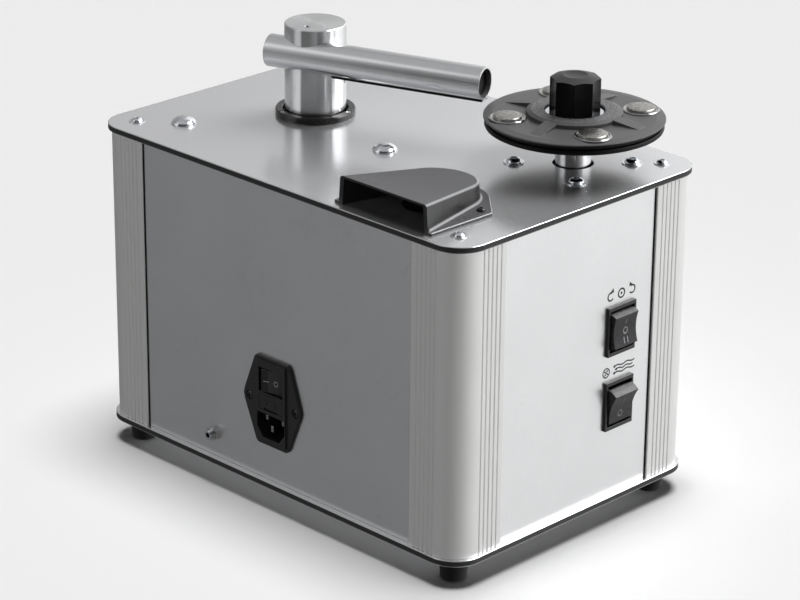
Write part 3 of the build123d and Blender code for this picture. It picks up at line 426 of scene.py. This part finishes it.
def knob_plastic():
    k = Mat("knob_plastic")
    g = k.node("ShaderNodeNewGeometry")
    s = k.node("ShaderNodeSeparateXYZ")
    k.t.links.new(g.outputs["Normal"], s.inputs[0])
    up = k.remap(s.outputs[2], 0.35, 0.75, 0.0, 1.0, smooth=True)
    fine = k.noise(2400.0, 3.0, 0.6)
    cloud = k.noise(60.0, 3.0, 0.5)
    k.put(k.mix(up, k.tint((0.009, 0.009, 0.0095), fine, 0.25), k.tint((0.055, 0.055, 0.0565), fine, 0.15)), k.b.inputs["Base Color"])
    k.put(k.mixf(up, k.remap(cloud, 0.3, 0.7, 0.16, 0.24), k.remap(fine, 0.3, 0.7, 0.34, 0.46)), k.b.inputs["Roughness"])
    k.const(Metallic=0.0, Specular_IOR_Level=0.5, IOR=1.17)
    k.put(k.bump(fine, 0.000010, 0.5, k.bevel(0.00035)), k.b.inputs["Normal"])
    return k


def post_metal():
    """Anodised extrusion: fine die lines run up it, so what it mirrors is spread sideways."""
    k = Mat("anodised_post")
    lines = k.noise(1.0, 3.0, 0.6, k.scaled(2400, 2400, 9))
    cloud = k.noise(28.0, 3.0, 0.55)
    k.put(k.tint((0.95, 0.95, 0.94), lines, 0.05), k.b.inputs["Base Color"])
    k.put(k.math("ADD", k.remap(lines, 0.25, 0.75, 0.46, 0.54), k.remap(cloud, 0.3, 0.7, -0.02, 0.02)), k.b.inputs["Roughness"])
    k.const(Metallic=0.82, Anisotropic=0.7)
    tg = k.node("ShaderNodeTangent", direction_type="RADIAL", axis="Z")
    k.t.links.new(tg.outputs[0], k.b.inputs["Tangent"])
    k.put(k.bump(lines, 0.000003, 0.8, k.bevel(0.00018)), k.b.inputs["Normal"])
    return k


def pad_metal():
    """Satin nickel caps, mottled on top."""
    k = Mat("pad_nickel")
    fine = k.noise(1500.0, 3.0, 0.6)
    mott = k.noise(520.0, 4.0, 0.65)
    cap = k.remap(k.xyz()[2], 0.2457, 0.2460, 0.0, 1.0)
    top = k.mix(k.remap(mott, 0.35, 0.65, 0.0, 1.0), (0.24, 0.233, 0.218), (0.42, 0.41, 0.39))
    k.put(k.mix(cap, k.tint((0.40, 0.395, 0.385), fine, 0.08), top), k.b.inputs["Base Color"])
    k.put(k.mixf(cap, k.remap(fine, 0.3, 0.7, 0.12, 0.18), k.math("ADD", k.remap(mott, 0.3, 0.7, 0.24, 0.36), k.remap(fine, 0.3, 0.7, -0.03, 0.03))), k.b.inputs["Roughness"])
    k.const(Metallic=1.0)
    k.put(k.bump(k.math("MULTIPLY", mott, cap), 0.000010, 0.7), k.b.inputs["Normal"])
    return k


def zinc(name, colour, rough):
    k = Mat(name)
    fine = k.noise(1800.0, 3.0, 0.6)
    cloud = k.noise(350.0, 3.0, 0.5)
    k.put(k.mix(k.remap(cloud, 0.35, 0.65, 0.0, 1.0), tuple(c * 0.88 for c in colour), colour), k.b.inputs["Base Color"])
    k.put(k.remap(fine, 0.3, 0.7, rough - 0.04, rough + 0.05), k.b.inputs["Roughness"])
    k.const(Metallic=1.0)
    k.put(k.bump(fine, 0.000004, 0.6, k.bevel(0.00020)), k.b.inputs["Normal"])
    return k


def rocker_plastic():
    """Grained black moulding; faces that point up are painted paler, a painted highlight from the light above."""
    k = Mat("rocker_plastic")
    s = k.node("ShaderNodeSeparateXYZ")
    k.t.links.new(k.node("ShaderNodeTexCoord").outputs["Normal"], s.inputs[0])
    up = k.remap(s.outputs[2], 0.40, 0.75, 0.0, 1.0, smooth=True)
    fine = k.noise(1500.0, 3.0, 0.7)
    wide = k.noise(520.0, 2.0, 0.6)
    both = k.mixf(0.4, fine, wide)
    dark = k.mix(k.remap(both, 0.40, 0.60, 0.0, 1.0), (0.013, 0.013, 0.015), (0.060, 0.058, 0.064))
    # painted highlight: upward faces get this paler colour
    painted_lit_top = k.mix(k.remap(both, 0.40, 0.60, 0.0, 1.0), (0.10, 0.10, 0.102), (0.19, 0.19, 0.192))
    k.put(k.mix(up, dark, painted_lit_top), k.b.inputs["Base Color"])
    k.put(k.remap(both, 0.35, 0.65, 0.34, 0.52), k.b.inputs["Roughness"])
    k.const(Metallic=0.0, Specular_IOR_Level=0.36)
    k.put(k.bump(both, 0.00003, 0.9, k.bevel(0.00045)), k.b.inputs["Normal"])
    return k


def felt():
    k = Mat("felt")
    fib = k.noise(2800.0, 4.0, 0.7, distort=0.6)
    k.put(k.tint((0.013, 0.013, 0.014), fib, 0.7), k.b.inputs["Base Color"])
    k.const(Roughness=0.95, Sheen_Weight=0.15, Specular_IOR_Level=0.1)
    k.put(k.bump(fib, 0.0002, 1.0), k.b.inputs["Normal"])
    return k


def floor_mat():
    k = Mat("floor_paper")
    k.put(k.tint((0.90, 0.90, 0.90), k.noise(2.0, 2.0, 0.5), 0.004), k.b.inputs["Base Color"])
    k.const(Roughness=1.0, Specular_IOR_Level=0.0)
    return k


M = {
    "plate": composite_sheet(),
    "post": post_metal(),
    "panel": grained("anodised_panel", (0.70, 0.705, 0.71), 0.33, 1.0, 0.0007, 0.000010, 0.07, 0.05, 0.00025, 0.5, 0.03),
    "column": turned_column(),
    "sleeve": turned_sleeve(),
    "tube": brushed("drawn_tube", (0.72, 0.73, 0.74), 0.22, (14, 2600, 2600), turn_z=math.radians(71.15), line=0.07, depth=0.000004, spread=0.05, bevel=0.00020),
    "plug": grained("tube_plug", (0.006, 0.006, 0.006), 0.7, 0.0, 0.0004, 0.00002, 0.3),
    "zinc": zinc("zinc_plate", (0.74, 0.76, 0.79), 0.15),
    "steel": zinc("ground_steel", (0.56, 0.56, 0.56), 0.28),
    "pin": zinc("nickel_pin", (0.34, 0.33, 0.31), 0.30),
    "pads": pad_metal(),
    "hood": grained("hood_plastic", (0.060, 0.060, 0.064), 0.31, 0.0, 0.00045, 0.000010, 0.16, 0.05, 0.0004, 0.50, painted_edge_highlight=0.45, painted_rim_light=0.75),
    "inlet": grained("inlet_plastic", (0.016, 0.016, 0.017), 0.38, 0.0, 0.0004, 0.00001, 0.20, 0.06, 0.0004, 0.5, painted_edge_highlight=0.22),
    "switch": grained("bezel_plastic", (0.012, 0.012, 0.013), 0.36, 0.0, 0.00045, 0.00001, 0.20, 0.06, 0.00045, 0.5, painted_edge_highlight=0.30),
    "rocker": rocker_plastic(),
    "clamp": clamp_plastic(),
    "hubdisc": grained("hub_plastic", (0.005, 0.005, 0.0053), 0.42, 0.0, 0.0005, 0.00001, 0.12, 0.05, 0.0004, 0.14),
    "knob": knob_plastic(),
    "rubber": grained("moulded_rubber", (0.007, 0.007, 0.007), 0.55, 0.0, 0.0005, 0.00002, 0.2, 0.06, 0.0004, 0.25),
    "flange": grained("black_anodised", (0.006, 0.006, 0.0065), 0.25, 0.0, 0.0004, 0.000006, 0.15, 0.05, 0.0004, 0.6),
    "blackscrew": grained("black_screw", (0.014, 0.014, 0.015), 0.22, 0.3, 0.0004, 0.000006, 0.2, 0.05, 0.0002, 0.7),
    "felt": felt(),
    "tank": grained("tank_plastic", (0.74, 0.74, 0.70), 0.35, 0.0, 0.0006, 0.00001, 0.04),
    "grey": grained("grey_casting", (0.20, 0.20, 0.21), 0.45, 0.0, 0.0006, 0.00002, 0.08),
    "wire": grained("wire_skin", (0.04, 0.04, 0.045), 0.4, 0.0, 0.0005, 0.00001, 0.1),
    "print": grained("black_print", (0.006, 0.006, 0.007), 0.45, 0.0, 0.0003, 0.000003, 0.2, 0.05, 0.0, 0.4),
    "mark": grained("pale_print", (0.80, 0.80, 0.82), 0.5, 0.0, 0.0003, 0.000003, 0.06, 0.05, 0.0, 0.4),
}

USE = {
    "top_plate": "plate", "bottom_plate": "plate",
    "corner_post_front_left": "post", "corner_post_front_right": "post", "corner_post_rear_left": "post", "corner_post_rear_right": "post",
    "left_panel": "panel", "right_panel": "panel", "front_panel": "panel", "rear_panel": "panel",
    "rubber_feet": "rubber", "corner_screws": "zinc", "tank_bolts": "zinc", "motor_screws": "zinc",
    "exhaust_hood": "hood", "hood_screws": "blackscrew",
    "inlet_housing": "inlet", "inlet_pins": "pin", "inlet_screws": "blackscrew", "inlet_rocker": "inlet", "fuse_drawer": "inlet",
    "drain_spout": "zinc", "drain_nut": "steel",
    "motor_switch_body": "switch", "vacuum_switch_body": "switch", "motor_rocker": "rocker", "vacuum_rocker": "rocker",
    "spindle": "steel", "spindle_sleeve": "sleeve", "hub_disc": "hubdisc", "hub_seal": "rubber", "drive_gear": "tank",
    "clamp_disc": "clamp", "clamp_pads": "pads", "knob_washer": "zinc", "clamp_knob": "knob",
    "motor_pinion": "steel", "gearbox_case": "grey", "motor_can": "zinc",
    "turret_flange": "flange", "flange_screws": "zinc", "turret_column": "column", "arm_tube": "tube", "tube_plugs": "plug",
    "felt_strips": "felt", "arm_grub_screws": "steel", "riser_pipe": "tube", "turret_guide": "grey", "swivel_sleeve": "tank", "lift_spring": "steel",
    "waste_tank": "tank", "tank_lid": "tank", "drain_hose": "rubber", "suction_boot": "rubber", "suction_hose": "rubber",
    "vacuum_motor_housing": "grey", "impeller": "steel", "exhaust_duct": "grey", "motor_capacitor": "grey", "wiring": "wire",
}
for name, obj in N.items():
    k = M[USE[name]]
    obj.data.materials.clear()
    obj.data.materials.append(k.m)
floor.data.materials.append(floor_mat().m)


# ---------------------------------------------------------------- pieces
def finish_piece(bm, name, mat, body, smooth=False):
    me = bpy.data.meshes.new(name)
    bm.to_mesh(me)
    bm.free()
    if smooth:
        for p in me.polygons:
            p.use_smooth = True
    ob = bpy.data.objects.new(name, me)
    scene.collection.objects.link(ob)
    me.materials.append(M[mat].m)
    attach(ob, body)
    return ob


def stroke(p, q, w, n=6):
    """A straight line of width w as n quads across its length."""
    d = (Vector(q) - Vector(p))
    s = Vector((-d.y, d.x)).normalized() * (w / 2)
    out = []
    for i in range(n):
        a, b = Vector(p) + d * (i / n), Vector(p) + d * ((i + 1) / n)
        out.append([a - s, b - s, b + s, a + s])
    return out


def arc(c, rx, ry, w, a0=0.0, a1=360.0, n=40):
    """Part of a ring with outer radii rx and ry."""
    out = []
    for i in range(n):
        t0 = math.radians(a0 + (a1 - a0) * i / n)
        t1 = math.radians(a0 + (a1 - a0) * (i + 1) / n)
        q = [(rx, ry, t0), (rx, ry, t1), (rx - w, ry - w, t1), (rx - w, ry - w, t0)]
        out.append([Vector((c[0] + x * math.cos(t), c[1] + y * math.sin(t))) for x, y, t in q])
    return out


def disc(c, r, n=20):
    return [[Vector((c[0] + r * math.cos(2 * math.pi * i / n), c[1] + r * math.sin(2 * math.pi * i / n))) for i in range(n)]]


def printed(name, faces, place, mat, body, lift=0.00006, sink=0.00004):
    """Flat figures raised a little from a surface; place(u, v) gives its point and outward normal."""
    bm = bmesh.new()
    for f in faces:
        vs = [bm.verts.new((p[0], p[1], 0.0)) for p in f]
        bm.faces.new(vs)
    bmesh.ops.remove_doubles(bm, verts=bm.verts[:], dist=1e-4)
    ret = bmesh.ops.extrude_face_region(bm, geom=bm.faces[:])
    for g in ret["geom"]:
        if isinstance(g, bmesh.types.BMVert):
            g.co.z = 1.0
    bmesh.ops.recalc_face_normals(bm, faces=bm.faces[:])
    flip = None
    for v in bm.verts:
        p, nrm = place(v.co.x, v.co.y)
        v.co = p + nrm * (lift if v.co.z > 0.5 else -sink)
    bmesh.ops.recalc_face_normals(bm, faces=bm.faces[:])
    return finish_piece(bm, name, mat, body)


FACE_Y, FACE_X = -152.0, -102.0


def on_front(u, v):
    return V(u, FACE_Y, v), Vector((0, -1, 0))


def surface(node, origin_of, direction):
    """place() for a curved CAD face, found by looking at it from the front."""
    o = N[node]
    tree = BVHTree.FromPolygons([v.co.copy() for v in o.data.vertices], [tuple(p.vertices) for p in o.data.polygons])

    def place(u, v):
        hit, nrm, _, _ = tree.ray_cast(origin_of(u, v), direction)
        if nrm.dot(direction) > 0:
            nrm = -nrm
        return hit, nrm
    return place


motor_face = surface("motor_rocker", lambda u, v: V(u, -175.0, v), Vector((0, 1, 0)))
vacuum_face = surface("vacuum_rocker", lambda u, v: V(u, -175.0, v), Vector((0, 1, 0)))
mains_face = surface("inlet_rocker", lambda u, v: V(-120.0, u, v), Vector((1, 0, 0)))
drawer_face = surface("fuse_drawer", lambda u, v: V(-120.0, u, v), Vector((1, 0, 0)))

SWX, SW1, SW2 = 36.5, 126.5, 78.3
printed("motor_rocker_marks", stroke((SWX + 0.5, SW1 + 3.9), (SWX + 0.5, SW1 + 7.4), 0.86) + arc((SWX + 0.4, SW1 - 0.4), 2.15, 2.35, 0.84)
        + stroke((SWX - 1.0, SW1 - 8.2), (SWX - 1.0, SW1 - 4.4), 0.66) + stroke((SWX + 2.0, SW1 - 8.2), (SWX + 2.0, SW1 - 4.4), 0.66),
        motor_face, "mark", "motor_switch_rocker")
printed("vacuum_rocker_marks", stroke((SWX + 0.2, SW2 + 1.2), (SWX + 0.2, SW2 + 4.7), 0.86) + arc((SWX - 0.4, SW2 - 6.0), 2.1, 2.3, 0.84),
        vacuum_face, "mark", "vacuum_switch_rocker")
printed("mains_rocker_marks", stroke((2.4, 85.4), (6.2, 85.4), 0.55) + arc((-2.6, 85.2), 1.75, 1.75, 0.5),
        mains_face, "mark", "mains_rocker")

# fuse sign raised on the drawer: a small box with a line through it
printed("fuse_sign", stroke((-4.2, 72.9), (4.4, 72.9), 0.5) + stroke((-4.2, 69.9), (4.4, 69.9), 0.5) + stroke((-4.0, 70.1), (-4.0, 72.7), 0.5) + stroke((4.2, 70.1), (4.2, 72.7), 0.5),
        drawer_face, "inlet", "fuse_carrier", lift=0.00028)

# plain pictures over the switches: a turning disc, and a fan that draws air
cx, cz = 36.9, 148.7


def head(tip, direction, size):
    """Arrow head with its tip at tip."""
    d = Vector((math.cos(math.radians(direction)), math.sin(math.radians(direction))))
    s = Vector((-d.y, d.x))
    t = Vector(tip)
    return [[t, t - d * size + s * size * 0.62, t - d * size - s * size * 0.62]]


motor_sign = arc((cx, cz), 3.3, 3.3, 1.05) + disc((cx, cz), 0.85)
motor_sign += arc((cx - 9.6, cz), 3.0, 3.0, 1.05, 60.0, 325.0, 34) + head((cx - 9.6 + 2.75, cz + 2.0), -50.0, 2.6)
motor_sign += arc((cx + 9.6, cz), 3.0, 3.0, 1.05, -145.0, 120.0, 34) + head((cx + 9.6 - 2.75, cz + 2.0), 230.0, 2.6)
printed("motor_sign", motor_sign, on_front, "print", "case", lift=0.00003)

vx, vz = 36.4, 100.2
fan = arc((vx - 10.8, vz), 3.3, 3.3, 0.85) + disc((vx - 10.8, vz), 0.6)
for i in range(4):
    a0 = math.radians(90 * i + 20)
    blade = []
    for t in range(9):
        a = a0 + math.radians(62) * t / 8
        rr = 0.75 + 1.35 * math.sin(math.pi * t / 8) ** 0.8
        blade.append(Vector((vx - 10.8 + (rr + 0.15) * math.cos(a), vz + (rr + 0.15) * math.sin(a))))
    blade.append(Vector((vx - 10.8 + 0.72 * math.cos(a0 + 0.5), vz + 0.72 * math.sin(a0 + 0.5))))
    fan.append(blade)
for i, dz in enumerate((-2.2, 0.0, 2.2)):
    x0, x1 = vx - 3.2 + 1.6 * (i == 1), vx + 14.6 - 1.6 * (i == 1)
    fan += head((x0 - 1.6, vz + dz), 180.0, 1.9)
    pts = [Vector((x0 + 0.1 + (x1 - x0) * t / 28, vz + dz + 0.45 * math.sin(2 * math.pi * 2 * t / 28))) for t in range(29)]
    for p, q in zip(pts, pts[1:]):
        fan.append([p + Vector((0, -0.45)), q + Vector((0, -0.45)), q + Vector((0, 0.45)), p + Vector((0, 0.45))])
printed("vacuum_sign", fan, on_front, "print", "case", lift=0.00003)

# black strips in the seams between each panel and the lips of its posts, standing in for the shadow there: painted
# shade
prof = [(0.0, -0.02), (0.0, 0.42), (0.10, 0.56), (0.24, 0.62), (0.56, 0.62), (0.70, 0.56), (0.80, 0.42), (0.80, -0.02)]
sm = bmesh.new()
Z0, Z1 = 19.06, 209.44
YMID = 0.85
for side in range(4):
    for end in (-1, 1):
        if end == -1 and side in (0, 2):      # no strips at the near post, whose seams show no dark line
            continue
        rows = []
        for zz in (Z0, Z1):
            ring = []
            for a, h in prof:
                if side < 2:
                    sx = -1 if side == 0 else 1
                    p = V(sx * (102.0 + h), YMID + end * (115.80 - a), zz)
                else:
                    sy = -1 if side == 2 else 1
                    p = V(end * (64.95 - a), YMID + sy * (152.85 + h), zz)
                ring.append(sm.verts.new(p))
            rows.append(ring)
        for i in range(len(prof) - 1):
            sm.faces.new((rows[0][i], rows[0][i + 1], rows[1][i + 1], rows[1][i]))
        sm.faces.new((rows[0][-1], rows[0][0], rows[1][0], rows[1][-1]))
        sm.faces.new(rows[0])
        sm.faces.new(list(reversed(rows[1])))
bmesh.ops.recalc_face_normals(sm, faces=sm.faces[:])
finish_piece(sm, "seam_shade_strips", "rubber", "case")

# the table has its own lamp, the machine has the other three
def lit_by(lights, objects, name):
    col = bpy.data.collections.new(name)
    for o in objects:
        col.objects.link(o)
    for o in lights:
        o.light_linking.receiver_collection = col


lit_by(floor_lights, [floor], "table_lit")
lit_by(object_lights, [o for o in scene.objects if o.type == "MESH" and o != floor], "machine_lit")
